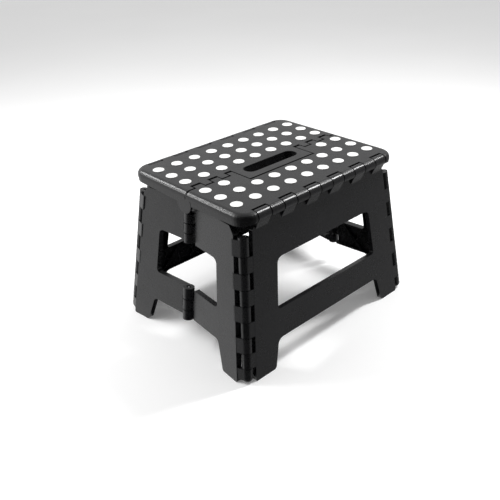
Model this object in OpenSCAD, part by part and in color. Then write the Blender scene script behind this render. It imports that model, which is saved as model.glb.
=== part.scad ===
// Folding step stool: two deck halves, two side panels and two hinged end panels.
// Origin on the floor under the middle of the deck. +X runs along the deck, +Z is up.

/* [Deck] */
// Height of the step above the floor
height = 220; // [180:1:260]
// Half of the deck length along X
deck_hx = 141; // [120:1:170]
// Radius of the deck corners in plan
deck_corner_r = 22; // [16:1:30]
// Depth of the rim below the deck surface at the middle
rim_h = 17.1; // [15:0.1:18]
// Thickness of the deck surface
deck_skin = 3; // [2:0.5:5]
// Step on the rim below its parting line
rim_step = 0.7; // [0:0.1:1.5]

/* [Grip dots] */
// Diameter of a grip dot
dot_d = 15; // [10:0.5:20]
// How far a dot stands proud of the deck
dot_proud = 0.5; // [0.2:0.1:1.5]
// Depth of the seat a dot sits in
dot_seat = 1.2; // [0.5:0.1:2]
// Pitch of the dots along X
dot_px = 30.2; // [24:0.1:36]
// Pitch of the dot rows along Y
dot_py = 28.1; // [24:0.1:34]
// Distance of the first dot row from the middle
dot_y0 = 19.5; // [15:0.5:26]

/* [Carry handle] */
// Half of the handle tongue's width
handle_hx = 59; // [45:1:70]
// How far the tongue reaches into the front half
handle_y = 34; // [28:1:44]
// Half of the finger slot's length
slot_hx = 46; // [35:1:52]
// Width of the finger slot
slot_w = 20.5; // [18:0.5:26]
// Depth of the handle section
handle_h = 12; // [8:1:16]

/* [Panels] */
// Outward splay of the two side panels
side_splay = 7; // [0:0.1:8]
// Outward splay of the two end panels
end_splay = 6.8; // [0:0.1:8]
// Inward bend of each end half at the corner
end_bend = 5.6; // [3:0.1:8]
// Panel skin thickness
skin = 2.6; // [2:0.1:4]
// Thickness of the side panel section
side_t = 6.6; // [5:0.1:9]
// Thickness of the end panel section
end_t = 8; // [6:0.1:10]
// Wall thickness round every opening
wall = 2.6; // [2:0.1:4]
// Top edge of the side panels above the floor
side_top = 203; // [190:1:204]
// Top edge of the end panels above the floor
end_top = 199; // [185:1:200]
// Half of the foot to foot distance of a side panel at the floor
corner_x0 = 154; // [145:0.5:160]
// Half of the distance between the corner axes of an end panel at the floor
corner_y0 = 120; // [110:0.5:126]
// Clear distance from a corner axis to the panel edges
clear_edge = 8.4; // [8:0.1:10]
// Top of the windows above the floor
win_top = 147; // [130:1:160]
// Bottom of the side windows above the floor
side_win_bot = 79; // [70:1:95]
// Bottom of the end windows above the floor
end_win_bot = 82; // [70:1:95]
// Underside of the stretchers above the floor
bar_bot = 38.7; // [30:0.1:50]

/* [Hinges] */
// Radius of the hinge barrels
barrel_r = 6.8; // [5:0.1:8]
// Radius of the hinge pins
pin_r = 2; // [1.5:0.1:3]
// Radial running clearance round a pin
pin_gap = 0.05; // [0.02:0.01:0.1]
// Radius of the barrels along the deck edges
edge_r = 7.4; // [6:0.1:8]
// Distance of the deck edge axes from the middle
edge_y = 103; // [95:0.5:110]
// Pitch of the corner knuckles
corner_pitch = 21; // [16:0.5:26]
// Pitch of the knuckles along the deck edges
edge_pitch = 21.5; // [18:0.5:28]
// Gap between neighbouring corner knuckles
knuckle_gap = 0.8; // [0.4:0.1:1.5]
// Gap between neighbouring knuckles along the deck edges
edge_gap = 1.6; // [0.4:0.1:2]
// Depth of the deck edge axis below the deck height
edge_drop = 8; // [7:0.5:14]
// Depth of the seam axis below the deck height
seam_drop = 17; // [16:0.5:22]
// Radius of the barrels in the middle of each end panel
mid_r = 7.6; // [6:0.1:9]
// Radius of the pins in the middle of each end panel
mid_pin_r = 1.2; // [1:0.1:2]
// Radius of the slack bores round the upper of those pins
upper_bore_r = 4.4; // [3:0.1:5]
// Radius of the slack bores round the lower of those pins
lower_bore_r = 2.8; // [2:0.1:5]

/* [Hidden] */
$fn = 48;
deck_top = height - dot_proud;
rim_bot = deck_top - rim_h;
rim_flat = 14;
edge_z = height - edge_drop;
edge_round = deck_top - edge_z;
deck_hy = edge_y + edge_round;
edge_pin_hx = 128;
seam_z = height - seam_drop;
corner_in = 7;
tx = tan(end_splay);
ty = tan(side_splay);
lean_side = atan(tx * cos(side_splay));
lean_end = atan(ty * cos(end_splay));
side_zs = 1 / cos(side_splay);
end_zs = 1 / cos(end_splay);
corner_n = 9;
top_extra = 3;
tab_step = 0.15;
foot_cut = 1.6;
mid_gap = 12;
mid_edge = 2;
face_inset = 0.6;
upper_bore = [-1.4, 1.95];
lower_bore = [0.3, -0.7];
ear_r = 13.4;
ear_in_r = 9.5;
seam_r = 5;
tip_gap = 2.6;
edge_clear = 1.7;
seam_half_gap = 0.9;
dot_cols = [for (i = [-4 : 4]) i * dot_px];

// ---- outline helpers ----
function unit(v) = v / norm(v);
function turn(a, b) = a[0] * b[1] - a[1] * b[0];

// Corner point of an outline moved inward by t; the outline runs anticlockwise.
function inset_pt(p0, p1, p2, t) =
  let (a = unit(p1 - p0), b = unit(p2 - p1))
  let (n1 = [-a[1], a[0]], n2 = [-b[1], b[0]])
  p1 + (n1 + n2) * t / (1 + n1 * n2);

function inset(pts, t) =
  let (n = len(pts))
  [for (i = [0 : n - 1]) inset_pt(pts[(i + n - 1) % n], pts[i], pts[(i + 1) % n], t)];

// Radii of an outline moved inward by t: outer corners shrink, inner ones grow.
function inset_r(pts, rs, t) =
  let (n = len(pts))
  [for (i = [0 : n - 1])
    let (a = pts[i] - pts[(i + n - 1) % n], b = pts[(i + 1) % n] - pts[i])
    turn(a, b) > 0 ? max(rs[i] - t, 0.3) : rs[i] + t];

function fillet(p0, p1, p2, r) =
  let (a = unit(p0 - p1), b = unit(p2 - p1), h = acos(a * b) / 2)
  let (c = p1 + unit(a + b) * r / sin(h))
  let (s = p1 + a * r / tan(h) - c, e = p1 + b * r / tan(h) - c)
  let (a0 = atan2(s[1], s[0]), d = atan2(turn(s, e), s * e))
  let (k = max(2, ceil(abs(d) / 11)))
  r < 0.1 ? [p1] : [for (j = [0 : k]) c + r * [cos(a0 + d * j / k), sin(a0 + d * j / k)]];

function rounded(pts, rs) =
  let (n = len(pts))
  [for (i = [0 : n - 1])
    each fillet(pts[(i + n - 1) % n], pts[i], pts[(i + 1) % n], rs[i])];

function arc(c, r, a0, a1) =
  [for (j = [0 : 12]) let (a = a0 + (a1 - a0) * j / 12) c + r * [cos(a), sin(a)]];

function box_pts(x0, y0, x1, y1) = [[x0, y0], [x1, y0], [x1, y1], [x0, y1]];

// ---- outlines ----
// Distance of a corner axis from the middle, at a height above the floor.
function corner_x(z) = corner_x0 - tx * z;
function corner_y(z) = corner_y0 - ty * z;
function side_out(z) = -corner_y(z) - corner_in / cos(side_splay);
function mirror_x(p) = [for (i = [len(p) - 1 : -1 : 0]) [-p[i][0], p[i][1]]];

side_right = [[110, -foot_cut], [corner_x(0) - clear_edge, -foot_cut],
  [corner_x(side_top - 8) - clear_edge, side_top - 8], [corner_x(side_top) - clear_edge - 6, side_top]];
side_low = [[100, bar_bot]];
side_pts = [for (p = concat(mirror_x(side_low), side_low, side_right,
  mirror_x(side_right))) [p[0], p[1] * side_zs]];
side_rs = [10, 10, 7, 3, 3, 2, 2, 3, 3, 7];
side_win = [for (p = [[-96, side_win_bot], [96, side_win_bot], [88, win_top], [-88, win_top]])
  [p[0], p[1] * side_zs]];
side_win_rs = [4, 4, 9, 9];

end_pts = [for (p = [[mid_edge, bar_bot], [68, bar_bot], [81.5, -foot_cut],
  [corner_y(0) - clear_edge, -foot_cut], [corner_y(end_top - 9) - clear_edge, end_top - 9],
  [corner_y(end_top) - clear_edge - 7, end_top], [mid_edge, end_top],
  [mid_edge, win_top], [57.5, win_top], [63.5, end_win_bot], [mid_edge, end_win_bot]])
  [p[0], p[1] * end_zs]];
end_rs = [2, 8, 7, 3, 3, 2, 1, 1, 8, 5, 1];

// Castellated seam of the deck from the handle outward, right half.
seam_half = [[handle_hx, -handle_y], [handle_hx, 1.5], [69.5, 1.5], [69.5, -8],
  [83, -8], [83, 1.5], [97, 1.5], [97, -8], [110.5, -8], [110.5, 1.5],
  [124.5, 1.5], [124.5, -5.5], [160, -5.5]];
seam_line = concat(mirror_x(seam_half), seam_half);
front_region = concat([[-160, -130], [160, -130]],
  [for (i = [len(seam_line) - 1 : -1 : 0]) seam_line[i]]);
back_region = concat([for (p = seam_line) [p[0], p[1] + (p[1] > 0 ? tip_gap : 1)]],
  [[160, 130], [-160, 130]]);

// Section of the deck across its two long edges, which round over onto the hinge axes.
deck_section = concat(arc([edge_y, edge_z], edge_round, 90, -90),
  [[rim_flat, rim_bot], [-rim_flat, rim_bot]],
  arc([-edge_y, edge_z], edge_round, 270, 90));

// Section of the deck's right end, which rounds over like the long edges, just inside it.
end_section = concat([[100, 180], [deck_hx - 0.1, 180]],
  arc([deck_hx - edge_round, edge_z], edge_round - 0.1, 0, 90), [[100, deck_top - 0.1]]);

// ---- shared pieces ----
module bar_x(r, x0, x1) {
  translate([x0, 0, 0]) rotate([0, 90, 0]) cylinder(r = r, h = x1 - x0);
}

// Ribbed panel section: a skin, a wall round every edge and diagonal ribs.
module ribbed(pts, rs, win, win_rs, depth) {
  linear_extrude(skin) difference() {
    polygon(rounded(pts, rs));
    if (len(win) > 0) polygon(rounded(win, win_rs));
  }
  linear_extrude(depth) difference() {
    polygon(rounded(pts, rs));
    difference() {
      polygon(rounded(inset(pts, wall), inset_r(pts, rs, wall)));
      if (len(win) > 0) polygon(rounded(inset(win, -wall), [for (r = win_rs) r + wall]));
    }
    if (len(win) > 0) polygon(rounded(win, win_rs));
  }
  linear_extrude(depth - 1) intersection() {
    difference() {
      polygon(inset(pts, wall / 2));
      if (len(win) > 0) polygon(inset(win, -wall / 2));
    }
    diagonals();
  }
}

module diagonals() {
  for (i = [-6 : 6], a = [-40, 40]) {
    translate([i * 46, 110]) rotate(a) square([1.8, 420], center = true);
  }
}

module below_floor() {
  translate([-250, -250, -60]) cube([500, 500, 60]);
}

// Everything drawn in this frame turns with a side panel: Z' runs up the panel, -Y' outward.
module side_frame() {
  translate([0, -corner_y0, 0]) rotate([-side_splay, 0, 0]) children();
}

// One corner axis inside the side panel's frame; side is -1 on the left.
module side_corner(side) {
  translate([side * corner_x0, 0, 0]) rotate([0, -side * lean_side, 0]) children();
}

// Left front end half: its middle axis is Z', the panel lies towards -Y'.
module end_frame() {
  translate([-corner_x0, 0, 0]) rotate([0, end_splay, 0]) children();
}

module end_corner() {
  end_frame() translate([0, -corner_y0, 0]) rotate([-lean_end, 0, 0]) children();
}

// ---- side panels ----
module side_knuckles() {
  for (i = [1 : 2 : corner_n - 2]) {
    z0 = i * corner_pitch + knuckle_gap / 2;
    h = corner_pitch - knuckle_gap;
    translate([0, 0, z0]) cylinder(r = barrel_r, h = h);
  }
}

module side_tabs(side) {
  for (i = [1 : 2 : corner_n - 2]) {
    z0 = i * corner_pitch + knuckle_gap / 2;
    h = corner_pitch - knuckle_gap;
    x0 = side > 0 ? -clear_edge - 3 : 0;
    translate([x0, -corner_in + tab_step, z0]) cube([clear_edge + 3, side_t - 2 * tab_step, h]);
  }
}

module edge_knuckle(xc) {
  w = edge_pitch - edge_gap;
  leg_bot = side_top - 8.5;
  translate([xc - w / 2, 0, 0]) {
    translate([0, -edge_y, edge_z]) bar_x(edge_r, 0, w);
    rotate([90, 0, 90]) linear_extrude(w)
      polygon([[-edge_y - edge_r + 0.2, edge_z - 1.5], [side_out(leg_bot) + 0.7, leg_bot],
        [side_out(leg_bot) + side_t - 0.9, leg_bot], [-edge_y + edge_r - 0.3, edge_z - 2]]);
  }
}

module side_panel() {
  difference() {
    union() {
      side_frame() {
        translate([0, -corner_in, 0]) rotate([90, 0, 0]) mirror([0, 0, 1])
          ribbed(side_pts, side_rs, side_win, side_win_rs, side_t);
        for (side = [-1, 1]) {
          side_corner(side) {
            side_knuckles();
            side_tabs(side);
          }
        }
      }
      for (i = [-5 : 2 : 5]) {
        edge_knuckle(i * edge_pitch);
      }
    }
    translate([0, -edge_y, edge_z]) bar_x(pin_r + pin_gap, -150, 150);
    for (side = [-1, 1]) {
      side_frame() side_corner(side) translate([0, 0, -5]) cylinder(r = pin_r + pin_gap, h = 220);
    }
    below_floor();
  }
}

module front_panel() {
  color("#2b2c2e") side_panel();
}

module back_panel() {
  color("#2b2c2e") mirror([0, 1, 0]) side_panel();
}

// ---- end panels ----
module end_knuckles() {
  for (i = [0 : 2 : corner_n - 1]) {
    z0 = i * corner_pitch + knuckle_gap / 2;
    h = corner_pitch - knuckle_gap;
    foot = i == 0 ? barrel_r + 0.2 : 0;
    top = i == corner_n - 1 ? top_extra : 0;
    translate([0, 0, z0 + foot]) cylinder(r = barrel_r, h = h - foot + top);
    if (i == 0) translate([0, 0, z0 + foot]) sphere(r = barrel_r);
  }
}

// Web from the panel edge to each knuckle, wedge shaped from the panel face to the barrel.
module end_tabs() {
  for (i = [0 : 2 : corner_n - 1]) {
    z0 = i * corner_pitch + knuckle_gap / 2 + (i == 0 ? 5 : 0);
    h = corner_pitch - knuckle_gap - (i == 0 ? 5 : 0);
    translate([0, 0, z0]) linear_extrude(h)
      polygon([[-barrel_r, -1.5], [-9.4, clear_edge + 1], [-9.4, clear_edge + 3],
        [-2.6, clear_edge + 3], [-2.6, clear_edge - 1], [0, 0]]);
  }
}

// Knuckle spans of the middle hinge: upper group then lower group, [z0, z1, owner].
mid_spans = [[174.5, 188, 1], [161, 174.5, 0], [147.5, 161, 1],
  [67, 84, 1], [51, 67, 0], [36, 51, 1]];

module mid_barrels(owner) {
  for (s = mid_spans) {
    if (s[2] == owner) {
      translate([0, 0, s[0] * end_zs + 0.6]) cylinder(r = mid_r, h = (s[1] - s[0]) * end_zs - 1.2);
    }
  }
}

module mid_notches(owner) {
  for (s = mid_spans) {
    if (s[2] != owner) {
      translate([-mid_r - 4, -mid_gap, s[0] * end_zs - 1.2])
        cube([end_t + mid_r + 8, 2 * mid_gap, (s[1] - s[0]) * end_zs + 2.4]);
    }
  }
}

// owner 0 carries the middle pin, owner 1 has the slack bores.
module end_half(owner) {
  difference() {
    union() {
      difference() {
        end_frame() rotate([0, 0, -end_bend]) mirror([0, 1, 0]) translate([face_inset, 0, 0])
          rotate([90, 0, 90]) ribbed(end_pts, end_rs, [], [], end_t);
        end_frame() mid_notches(owner);
      }
      end_frame() mid_barrels(owner);
      end_corner() {
        end_knuckles();
        end_tabs();
      }
    }
    end_corner() translate([0, 0, 5.4]) cylinder(r = pin_r + pin_gap, h = 220);
    if (owner == 0) {
      end_frame() cylinder(r = mid_pin_r + pin_gap, h = 220);
    } else {
      end_frame() {
        translate([upper_bore[0], upper_bore[1], 120]) cylinder(r = upper_bore_r, h = 100);
        translate([lower_bore[0], lower_bore[1], 20]) cylinder(r = lower_bore_r, h = 90);
      }
    }
    below_floor();
  }
}

module left_end_front() {
  color("#3c3d3f") end_half(0);
}

module left_end_back() {
  color("#3c3d3f") mirror([0, 1, 0]) end_half(1);
}

module right_end_front() {
  color("#3c3d3f") mirror([1, 0, 0]) end_half(0);
}

module right_end_back() {
  color("#3c3d3f") mirror([1, 0, 0]) mirror([0, 1, 0]) end_half(1);
}

// ---- deck ----
module deck_plan(t) {
  pts = box_pts(-deck_hx + t, -deck_hy + t, deck_hx - t, deck_hy - t);
  r = deck_corner_r - t;
  polygon(rounded(pts, [r, r, r, r]));
}

module deck_slab() {
  mid = rim_bot + rim_h * 0.42;
  intersection() {
    rotate([90, 0, 90]) translate([0, 0, -160]) linear_extrude(320) polygon(deck_section);
    union() {
      translate([0, 0, rim_bot]) linear_extrude(mid - rim_bot) deck_plan(rim_step);
      hull() {
        translate([0, 0, mid]) linear_extrude(edge_z - mid) deck_plan(0);
        for (a = [15 : 15 : 90]) {
          translate([0, 0, mid]) linear_extrude(edge_z + edge_round * sin(a) - mid)
            deck_plan(edge_round * (1 - cos(a)));
        }
      }
    }
  }
}

// Clearance pockets for the side panel's knuckles along the front edge.
module edge_notches() {
  w = edge_pitch + edge_gap;
  r = edge_r + edge_clear;
  for (i = [-5 : 2 : 5]) {
    translate([i * edge_pitch - w / 2, -edge_y, edge_z]) {
      bar_x(r, 0, w);
      translate([0, -12, -12]) cube([w, 12 + r, 12]);
    }
  }
}

module edge_barrels() {
  w = edge_pitch - edge_gap;
  translate([0, -edge_y, edge_z]) {
    for (i = [-4 : 2 : 4]) {
      bar_x(edge_r, i * edge_pitch - w / 2, i * edge_pitch + w / 2);
    }
  }
}

// Hollow of one deck half, written for the half at y < 0.
module deck_hollow() {
  y1 = -12.5;
  translate([0, 0, rim_bot - 1]) linear_extrude(deck_top - deck_skin - rim_bot + 1)
    polygon(rounded(box_pts(-deck_hx + 3.4, -90, deck_hx - 3.4, y1), [3, 3, 1, 1]));
}

module deck_ribs() {
  for (x = [-105.7 : dot_px : 106]) {
    translate([x - 1, -91, rim_bot + 4.5]) cube([2, 76, rim_h - 6]);
  }
  for (y = [-61.6, -33.5]) {
    translate([-deck_hx + 3, y - 1, rim_bot + 4.5]) cube([2 * deck_hx - 6, 2, rim_h - 6]);
  }
}

// Room above the seam axis that the other half's knuckles turn in.
module seam_room() {
  translate([-136.6, -12.6, rim_bot - 1]) cube([273.2, 25.2, 13]);
}

module seam_web(x0, x1) {
  translate([x0, 0, seam_z]) {
    bar_x(seam_r, 0, x1 - x0);
    rotate([90, 0, 90]) linear_extrude(x1 - x0)
      polygon([[-16, 14], [-9.5, 14], [-4, 5], [-3, -3], [-16, 5]]);
  }
}

module dot_seats(rows, skip) {
  for (y = rows, x = dot_cols) {
    if (!(skip && abs(y) < 25 && abs(x) < handle_hx + 10)) {
      translate([x, y, deck_top - dot_seat]) cylinder(d = dot_d + 0.1, h = 5);
    }
  }
}

module dot_set(rows, skip) {
  for (y = rows, x = dot_cols) {
    if (!(skip && abs(y) < 25 && abs(x) < handle_hx + 10)) {
      translate([x, y, deck_top - dot_seat]) cylinder(d = dot_d, h = dot_seat + dot_proud);
    }
  }
}

front_rows = [for (j = [0 : 2]) -dot_y0 - j * dot_py];
back_rows = [for (j = [0 : 2]) dot_y0 + j * dot_py];

module ear_profile() {
  polygon([[-6.3, 20], [-6.3, 0], [2, 0], [2, 20]]);
}

module deck_front() {
  color("#343537") difference() {
    union() {
      difference() {
        intersection() {
          deck_slab();
          translate([0, 0, 150]) linear_extrude(100) polygon(inset(front_region, seam_half_gap));
        }
        difference() {
          deck_hollow();
          translate([-handle_hx - 4, -handle_y - 5, 150]) cube([2 * handle_hx + 8, 60, 100]);
        }
        seam_room();
        for (s = [-1, 1]) {
          translate([s * 139.6, 0, seam_z]) {
            bar_x(ear_r + 0.5, -3, 3);
            rotate([90, 0, 90]) translate([0, 0, -3]) linear_extrude(6) ear_profile();
          }
        }
      }
      intersection() {
        deck_ribs();
        deck_slab();
        translate([0, 0, 150]) linear_extrude(100) polygon(inset(front_region, seam_half_gap));
      }
      edge_barrels();
      for (s = [-1, 1]) {
        for (x = [69, 95]) {
          seam_web(s * x - 5, s * x + 5);
        }
        translate([s * 134.4, 0, seam_z]) {
          bar_x(ear_in_r, -1.9, 1.9);
          translate([-1.9, -22, 0]) cube([3.8, 13, 14]);
        }
      }
    }
    edge_notches();
    translate([0, -edge_y, edge_z]) bar_x(pin_r + pin_gap, -edge_pin_hx - 0.2, edge_pin_hx + 0.2);
    for (s = [-1, 1]) {
      translate([s * 100, 0, seam_z]) bar_x(pin_r + pin_gap, -40, 40);
    }
    dot_seats(front_rows, true);
  }
}

module deck_back() {
  color("#343537") difference() {
    union() {
      difference() {
        intersection() {
          deck_slab();
          translate([0, 0, 150]) linear_extrude(100) polygon(inset(back_region, seam_half_gap));
        }
        mirror([0, 1, 0]) deck_hollow();
        difference() {
          seam_room();
          translate([-handle_hx, -60, 190]) cube([2 * handle_hx, 120, 100]);
        }
        translate([-80, -60, rim_bot - 1]) cube([160, 72.5, deck_top - handle_h - rim_bot + 1]);
      }
      intersection() {
        mirror([0, 1, 0]) deck_ribs();
        deck_slab();
      }
      mirror([0, 1, 0]) edge_barrels();
      for (s = [-1, 1]) {
        for (x = [82, 108]) {
          mirror([0, 1, 0]) seam_web(s * x - 5.5, s * x + 5.5);
        }
        intersection() {
          translate([s * 138.8, 0, seam_z]) {
            bar_x(ear_r, -1.7, 1.7);
            rotate([90, 0, 90]) translate([0, 0, -1.7]) linear_extrude(3.4)
              polygon([[-4, 15], [-4, 0], [15, 0], [15, 15]]);
          }
          mirror([s > 0 ? 0 : 1, 0, 0]) rotate([90, 0, 0]) linear_extrude(60, center = true)
            polygon(end_section);
        }
      }
    }
    mirror([0, 1, 0]) edge_notches();
    translate([0, edge_y, edge_z]) bar_x(pin_r + pin_gap, -edge_pin_hx - 0.2, edge_pin_hx + 0.2);
    for (s = [-1, 1]) {
      translate([s * 98.8, 0, seam_z]) bar_x(pin_r + pin_gap, -40, 40);
    }
    finger_slot();
    dot_seats(back_rows, false);
  }
}

module finger_slot() {
  r = slot_w / 2;
  translate([0, -slot_w + 0.3, 190]) linear_extrude(60)
    polygon(rounded(box_pts(-slot_hx, 0, slot_hx, slot_w), [r - 0.2, r - 0.2, r - 0.2, r - 0.2]));
}

module dots_front() {
  color("#f4f4f2") dot_set(front_rows, true);
}

module dots_back() {
  color("#f4f4f2") dot_set(back_rows, false);
}

// ---- pins ----
module edge_pin() {
  color("#8d9094") translate([0, -edge_y, edge_z]) bar_x(pin_r, -edge_pin_hx, edge_pin_hx);
}

module edge_pin_front() {
  edge_pin();
}

module edge_pin_back() {
  mirror([0, 1, 0]) edge_pin();
}

module seam_pin() {
  color("#8d9094") translate([0, 0, seam_z]) bar_x(pin_r, 63, 138.4);
}

module seam_pin_left() {
  mirror([1, 0, 0]) seam_pin();
}

module seam_pin_right() {
  seam_pin();
}

module corner_pin() {
  color("#8d9094") side_frame() side_corner(-1) translate([0, 0, 5.6])
    cylinder(r = pin_r, h = corner_n * corner_pitch + top_extra - 7);
}

module corner_pin_front_left() {
  corner_pin();
}

module corner_pin_front_right() {
  mirror([1, 0, 0]) corner_pin();
}

module corner_pin_back_left() {
  mirror([0, 1, 0]) corner_pin();
}

module corner_pin_back_right() {
  mirror([1, 0, 0]) mirror([0, 1, 0]) corner_pin();
}

module mid_pin(z0, z1) {
  color("#8d9094") end_frame() translate([0, 0, z0 * end_zs])
    cylinder(r = mid_pin_r, h = (z1 - z0) * end_zs);
}

module mid_pin_left_upper() {
  mid_pin(148.5, 187);
}

module mid_pin_left_lower() {
  mid_pin(37, 83);
}

module mid_pin_right_upper() {
  mirror([1, 0, 0]) mid_pin(148.5, 187);
}

module mid_pin_right_lower() {
  mirror([1, 0, 0]) mid_pin(37, 83);
}

deck_front();
deck_back();
front_panel();
back_panel();
left_end_front();
left_end_back();
right_end_front();
right_end_back();
dots_front();
dots_back();
edge_pin_front();
edge_pin_back();
seam_pin_left();
seam_pin_right();
corner_pin_front_left();
corner_pin_front_right();
corner_pin_back_left();
corner_pin_back_right();
mid_pin_left_upper();
mid_pin_left_lower();
mid_pin_right_upper();
mid_pin_right_lower();
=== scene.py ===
"""Folding step stool: looks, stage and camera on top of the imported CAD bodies."""
import math

import bpy
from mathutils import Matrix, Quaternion, Vector


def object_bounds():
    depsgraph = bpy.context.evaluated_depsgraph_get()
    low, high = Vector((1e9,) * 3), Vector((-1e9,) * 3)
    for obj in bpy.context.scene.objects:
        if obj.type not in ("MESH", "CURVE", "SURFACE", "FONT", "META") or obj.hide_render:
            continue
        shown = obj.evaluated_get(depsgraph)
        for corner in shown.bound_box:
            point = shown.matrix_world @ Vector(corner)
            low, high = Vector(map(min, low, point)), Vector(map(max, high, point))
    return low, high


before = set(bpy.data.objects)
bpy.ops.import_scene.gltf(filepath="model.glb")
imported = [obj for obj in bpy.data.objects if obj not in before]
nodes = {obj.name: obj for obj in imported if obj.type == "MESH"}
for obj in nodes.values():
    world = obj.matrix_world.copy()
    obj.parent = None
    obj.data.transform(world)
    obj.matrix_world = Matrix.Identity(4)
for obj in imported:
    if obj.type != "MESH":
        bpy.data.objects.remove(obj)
cad_lo, cad_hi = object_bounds()
scene = bpy.context.scene

# ---------------------------------------------------------------- camera
CAMERA_PLACE = (-0.5684, -0.5884, 0.5450)
CAMERA_AIM = (0.0049, 0.0421, 0.0607)
CAMERA_ROLL = math.radians(-2.02)
LENS_MM = 46.87

# ---------------------------------------------------------------- edges and stage, metres
SMOOTH_UNDER = math.radians(16.5)  # faces that meet flatter than this shade as one
BEVEL_OVER = math.radians(32)
MOULDED_EDGE = 0.0005
DOT_EDGE = 0.0003
FLOOR_HALF = 9.0
FLOOR_GLOW = 0.14  # keeps the far floor as pale as the background
SHADE_DEPTH = 0.002

# ---------------------------------------------------------------- studio
BRIGHT_SIDE = (-0.673, 0.740, 0)  # horizontal directions, from the stool
CAMERA_SIDE = (-0.673, -0.740, 0)
GLOW_BASE, GLOW_SIDE, GLOW_ABOVE = 0.675, 0.374, 0.08
DARK_FROM, DARK_TO, DARK_LEVEL = 0.12, 0.62, 0.02


def aimed(place, target):
    """Turn of a camera or light at a place that looks at a target."""
    return (Vector(target) - Vector(place)).to_track_quat("-Z", "Y")


def make_camera():
    data = bpy.data.cameras.new("Camera")
    data.sensor_width = 36
    data.lens = LENS_MM
    data.clip_start, data.clip_end = 0.05, 40
    cam = bpy.data.objects.new("Camera", data)
    cam.location = CAMERA_PLACE
    cam.rotation_mode = "QUATERNION"
    cam.rotation_quaternion = aimed(CAMERA_PLACE, CAMERA_AIM) @ Quaternion((0, 0, 1), CAMERA_ROLL)
    scene.collection.objects.link(cam)
    scene.camera = cam


# ---------------------------------------------------------------- material helpers
def new_material(name):
    mat = bpy.data.materials.new(name)
    mat.use_nodes = True
    tree = mat.node_tree
    tree.nodes.clear()
    out = tree.nodes.new("ShaderNodeOutputMaterial")
    shader = tree.nodes.new("ShaderNodeBsdfPrincipled")
    tree.links.new(shader.outputs[0], out.inputs[0])
    return mat, tree, shader


def object_coord(tree, stretch=(1, 1, 1)):
    """Object coordinates in metres, stretched along each axis."""
    mapping = tree.nodes.new("ShaderNodeMapping")
    mapping.inputs["Scale"].default_value = stretch
    tree.links.new(tree.nodes.new("ShaderNodeTexCoord").outputs["Object"], mapping.inputs[0])
    return mapping.outputs[0]


def noise(tree, coord, scale, detail=3.0, rough=0.55):
    n = tree.nodes.new("ShaderNodeTexNoise")
    n.inputs["Scale"].default_value = scale
    n.inputs["Detail"].default_value = detail
    n.inputs["Roughness"].default_value = rough
    tree.links.new(coord, n.inputs["Vector"])
    return n.outputs[0]


def ramp(tree, fac, stops):
    r = tree.nodes.new("ShaderNodeValToRGB")
    for item, (pos, tone) in zip(r.color_ramp.elements, stops):
        item.position = pos
        item.color = (*tone, 1)
    tree.links.new(fac, r.inputs[0])
    return r.outputs[0]


def map_range(tree, fac, lo, hi, out_lo, out_hi):
    m = tree.nodes.new("ShaderNodeMapRange")
    for i, v in enumerate((lo, hi, out_lo, out_hi)):
        m.inputs[i + 1].default_value = v
    tree.links.new(fac, m.inputs[0])
    return m.outputs[0]


def calc(tree, operation, a, b):
    """One math node; a is a socket, b a socket or a number."""
    m = tree.nodes.new("ShaderNodeMath")
    m.operation = operation
    tree.links.new(a, m.inputs[0])
    if isinstance(b, (int, float)):
        m.inputs[1].default_value = b
    else:
        tree.links.new(b, m.inputs[1])
    return m.outputs[0]


def mix_colour(tree, fac, a, b):
    m = tree.nodes.new("ShaderNodeMix")
    m.data_type = "RGBA"
    tree.links.new(fac, m.inputs["Factor"])
    tree.links.new(a, m.inputs["A"])
    m.inputs["B"].default_value = (*b, 1)
    return m.outputs["Result"]


def bump(tree, height, strength, distance, normal=None):
    b = tree.nodes.new("ShaderNodeBump")
    b.inputs["Strength"].default_value = strength
    b.inputs["Distance"].default_value = distance
    tree.links.new(height, b.inputs["Height"])
    if normal is not None:
        tree.links.new(normal, b.inputs["Normal"])
    return b.outputs[0]


# ---------------------------------------------------------------- materials
def moulded_plastic(name, dark, light, rough, grain, grain_depth, gloss=0.5):
    """Satin moulded plastic: mottled tone, eroded grain, slow flow waviness and fine scuffs."""
    mat, tree, shader = new_material(name)
    coord = object_coord(tree)
    tone = ramp(tree, noise(tree, coord, 14, 4, 0.6), [(0.3, dark), (0.7, light)])
    along = noise(tree, object_coord(tree, (0.12, 1, 1)), 420, 2, 0.5)
    across = noise(tree, object_coord(tree, (1, 0.12, 0.5)), 380, 2, 0.5)
    patch = map_range(tree, noise(tree, coord, 22, 3, 0.6), 0.5, 0.68, 0, 1)
    marks = map_range(tree, calc(tree, "MAXIMUM", along, across), 0.68, 0.76, 0, 1)
    wear = calc(tree, "MULTIPLY", marks, patch)
    tone = mix_colour(tree, calc(tree, "MULTIPLY", wear, 0.5), tone, (0.045, 0.045, 0.047))
    tree.links.new(tone, shader.inputs["Base Color"])
    shader.inputs["Specular IOR Level"].default_value = gloss
    fine = noise(tree, coord, grain, 2, 0.6)
    smear = noise(tree, coord, 45, 3, 0.6)
    base = map_range(tree, calc(tree, "ADD", calc(tree, "MULTIPLY", fine, 0.5), smear),
                     0.5, 1.0, rough - 0.06, rough + 0.06)
    tree.links.new(calc(tree, "ADD", base, calc(tree, "MULTIPLY", wear, 0.18)),
                   shader.inputs["Roughness"])
    waves = bump(tree, noise(tree, coord, 24, 2, 0.5), 0.25, 0.0004)
    tree.links.new(bump(tree, fine, 0.5, grain_depth, waves), shader.inputs["Normal"])
    return mat


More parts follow.
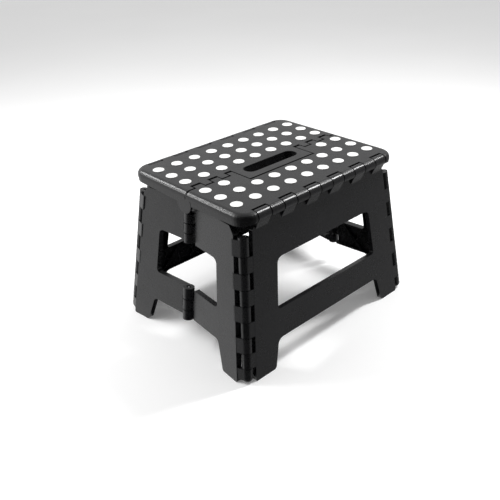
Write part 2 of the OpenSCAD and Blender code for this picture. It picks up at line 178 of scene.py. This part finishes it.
def grip_rubber():
    mat, tree, shader = new_material("grip_rubber")
    coord = object_coord(tree)
    tint = noise(tree, coord, 60, 3, 0.6)
    tone = ramp(tree, tint, [(0.3, (0.76, 0.76, 0.75)), (0.7, (0.85, 0.85, 0.84))])
    soil = map_range(tree, noise(tree, coord, 160, 4, 0.7), 0.6, 0.8, 0, 0.35)
    tree.links.new(mix_colour(tree, soil, tone, (0.55, 0.54, 0.52)), shader.inputs["Base Color"])
    fine = noise(tree, coord, 900, 2, 0.6)
    tree.links.new(map_range(tree, fine, 0.3, 0.7, 0.55, 0.7), shader.inputs["Roughness"])
    tree.links.new(bump(tree, fine, 0.4, 0.00015), shader.inputs["Normal"])
    return mat


def pin_steel():
    mat, tree, shader = new_material("pin_steel")
    coord = object_coord(tree)
    streak = noise(tree, coord, 700, 2, 0.5)
    tone = ramp(tree, streak, [(0.3, (0.42, 0.42, 0.43)), (0.7, (0.62, 0.62, 0.63))])
    tree.links.new(tone, shader.inputs["Base Color"])
    tree.links.new(map_range(tree, streak, 0.3, 0.7, 0.3, 0.45), shader.inputs["Roughness"])
    tree.links.new(bump(tree, streak, 0.3, 0.00005), shader.inputs["Normal"])
    shader.inputs["Metallic"].default_value = 1.0
    return mat


def paint(obj, mat):
    obj.data.materials.clear()
    obj.data.materials.append(mat)


def soften_edges(obj, width):
    """Rounds a moulding's sharp edges by a bevel and smooths what is nearly flat."""
    obj.data.shade_smooth()
    obj.data.set_sharp_from_angle(angle=SMOOTH_UNDER)
    b = obj.modifiers.new("edge_radius", "BEVEL")
    b.width = width
    b.segments = 2
    b.limit_method = "ANGLE"
    b.angle_limit = BEVEL_OVER
    b.harden_normals = True
    b.use_clamp_overlap = True


# ---------------------------------------------------------------- stage
def sheet(name, half_x, half_y, z):
    mesh = bpy.data.meshes.new(name)
    corners = [(-half_x, -half_y, z), (half_x, -half_y, z), (half_x, half_y, z), (-half_x, half_y, z)]
    mesh.from_pydata(corners, [], [(0, 1, 2, 3)])
    obj = bpy.data.objects.new(name, mesh)
    scene.collection.objects.link(obj)
    return obj


def make_floor():
    """Pale paper, faintly self-lit. Reflections see the studio below it, except under the stool,
    where a dark sheet lies as painted shade for the shadowed floor there."""
    floor = sheet("floor", FLOOR_HALF, FLOOR_HALF, 0)
    floor.visible_glossy = False
    mat, tree, shader = new_material("floor_paper")
    tone = noise(tree, object_coord(tree), 3, 2, 0.5)
    tree.links.new(ramp(tree, tone, [(0.2, (0.92, 0.92, 0.92)), (0.8, (0.95, 0.95, 0.95))]),
                   shader.inputs["Base Color"])
    shader.inputs["Roughness"].default_value = 0.9
    shader.inputs["Specular IOR Level"].default_value = 0.1
    shader.inputs["Emission Color"].default_value = (1, 1, 1, 1)
    shader.inputs["Emission Strength"].default_value = FLOOR_GLOW
    floor.data.materials.append(mat)
    # painted shade: a dark sheet below the floor, reached only by reflections, stands in for the
    # shadowed floor under the stool
    shade = sheet("floor_shade", cad_hi[0] - 0.012, cad_hi[1] - 0.008, -SHADE_DEPTH)
    mat, tree, shader = new_material("floor_shade")
    dim = noise(tree, object_coord(tree), 6, 2, 0.5)
    tree.links.new(ramp(tree, dim, [(0.3, (0.010, 0.010, 0.010)), (0.7, (0.014, 0.014, 0.014))]),
                   shader.inputs["Base Color"])
    shader.inputs["Roughness"].default_value = 0.9
    shader.inputs["Specular IOR Level"].default_value = 0.0
    shade.data.materials.append(mat)


def area_light(name, place, target, size, power):
    data = bpy.data.lights.new(name, "AREA")
    data.shape = "RECTANGLE"
    data.size, data.size_y = size
    data.energy = power
    light = bpy.data.objects.new(name, data)
    light.location = place
    light.rotation_mode = "QUATERNION"
    light.rotation_quaternion = aimed(place, target)
    scene.collection.objects.link(light)


def towards(tree, direction, way):
    """Cosine between a direction and a fixed way."""
    dot = tree.nodes.new("ShaderNodeVectorMath")
    dot.operation = "DOT_PRODUCT"
    dot.inputs[1].default_value = way
    tree.links.new(direction, dot.inputs[0])
    return dot.outputs["Value"]


def studio_world():
    """A soft studio, brighter overhead and towards the back left, dark round the camera; the
    camera itself sees a white background."""
    world = bpy.data.worlds.new("studio")
    world.use_nodes = True
    tree = world.node_tree
    direction = tree.nodes.new("ShaderNodeTexCoord").outputs["Generated"]
    parts = tree.nodes.new("ShaderNodeSeparateXYZ")
    tree.links.new(direction, parts.inputs[0])
    side = calc(tree, "MULTIPLY", towards(tree, direction, BRIGHT_SIDE), GLOW_SIDE)
    above = calc(tree, "MULTIPLY", calc(tree, "MAXIMUM", parts.outputs["Z"], 0.0), GLOW_ABOVE)
    glow = calc(tree, "ADD", calc(tree, "ADD", side, above), GLOW_BASE)
    facing = towards(tree, direction, CAMERA_SIDE)
    room = map_range(tree, facing, DARK_FROM, DARK_TO, 1.0, DARK_LEVEL)
    glow = calc(tree, "MULTIPLY", glow, room)
    seen = tree.nodes.new("ShaderNodeLightPath").outputs["Is Camera Ray"]
    tree.links.new(calc(tree, "MAXIMUM", glow, seen),
                   tree.nodes["Background"].inputs["Strength"])
    tree.nodes["Background"].inputs["Color"].default_value = (1, 1, 1, 1)
    scene.world = world


# ---------------------------------------------------------------- build
make_camera()
deck_mat = moulded_plastic("deck_plastic", (0.005, 0.005, 0.0055), (0.010, 0.010, 0.011),
                           0.29, 1400, 0.0002, 0.42)
side_mat = moulded_plastic("side_plastic", (0.006, 0.006, 0.007), (0.009, 0.009, 0.010),
                           0.25, 1100, 0.0001)
# painted light: the end panels' copy of the one black plastic is toned lighter than the side panels'
# and the deck's, for the brighter-lit end faces
end_lit_mat = moulded_plastic("end_plastic", (0.008, 0.008, 0.009), (0.012, 0.012, 0.013),
                          0.27, 1100, 0.0001)
dot_mat = grip_rubber()
steel_mat = pin_steel()

for name, obj in nodes.items():
    if name.startswith("deck"):
        paint(obj, deck_mat)
        soften_edges(obj, MOULDED_EDGE)
    elif name.endswith("panel"):
        paint(obj, side_mat)
        soften_edges(obj, MOULDED_EDGE)
    elif "_end_" in name:
        paint(obj, end_lit_mat)
        soften_edges(obj, MOULDED_EDGE)
    elif name.startswith("dots"):
        paint(obj, dot_mat)
        soften_edges(obj, DOT_EDGE)
    else:
        paint(obj, steel_mat)
        obj.data.shade_smooth()

make_floor()
studio_world()
area_light("box_right", (0.72, -0.24, 1.1), (0, 0, 0.2), (0.12, 0.5), 12)
area_light("box_back_left", (-0.62, 0.80, 0.85), (0, 0, 0.2), (0.6, 0.12), 10)
scene.view_settings.view_transform = "Standard"
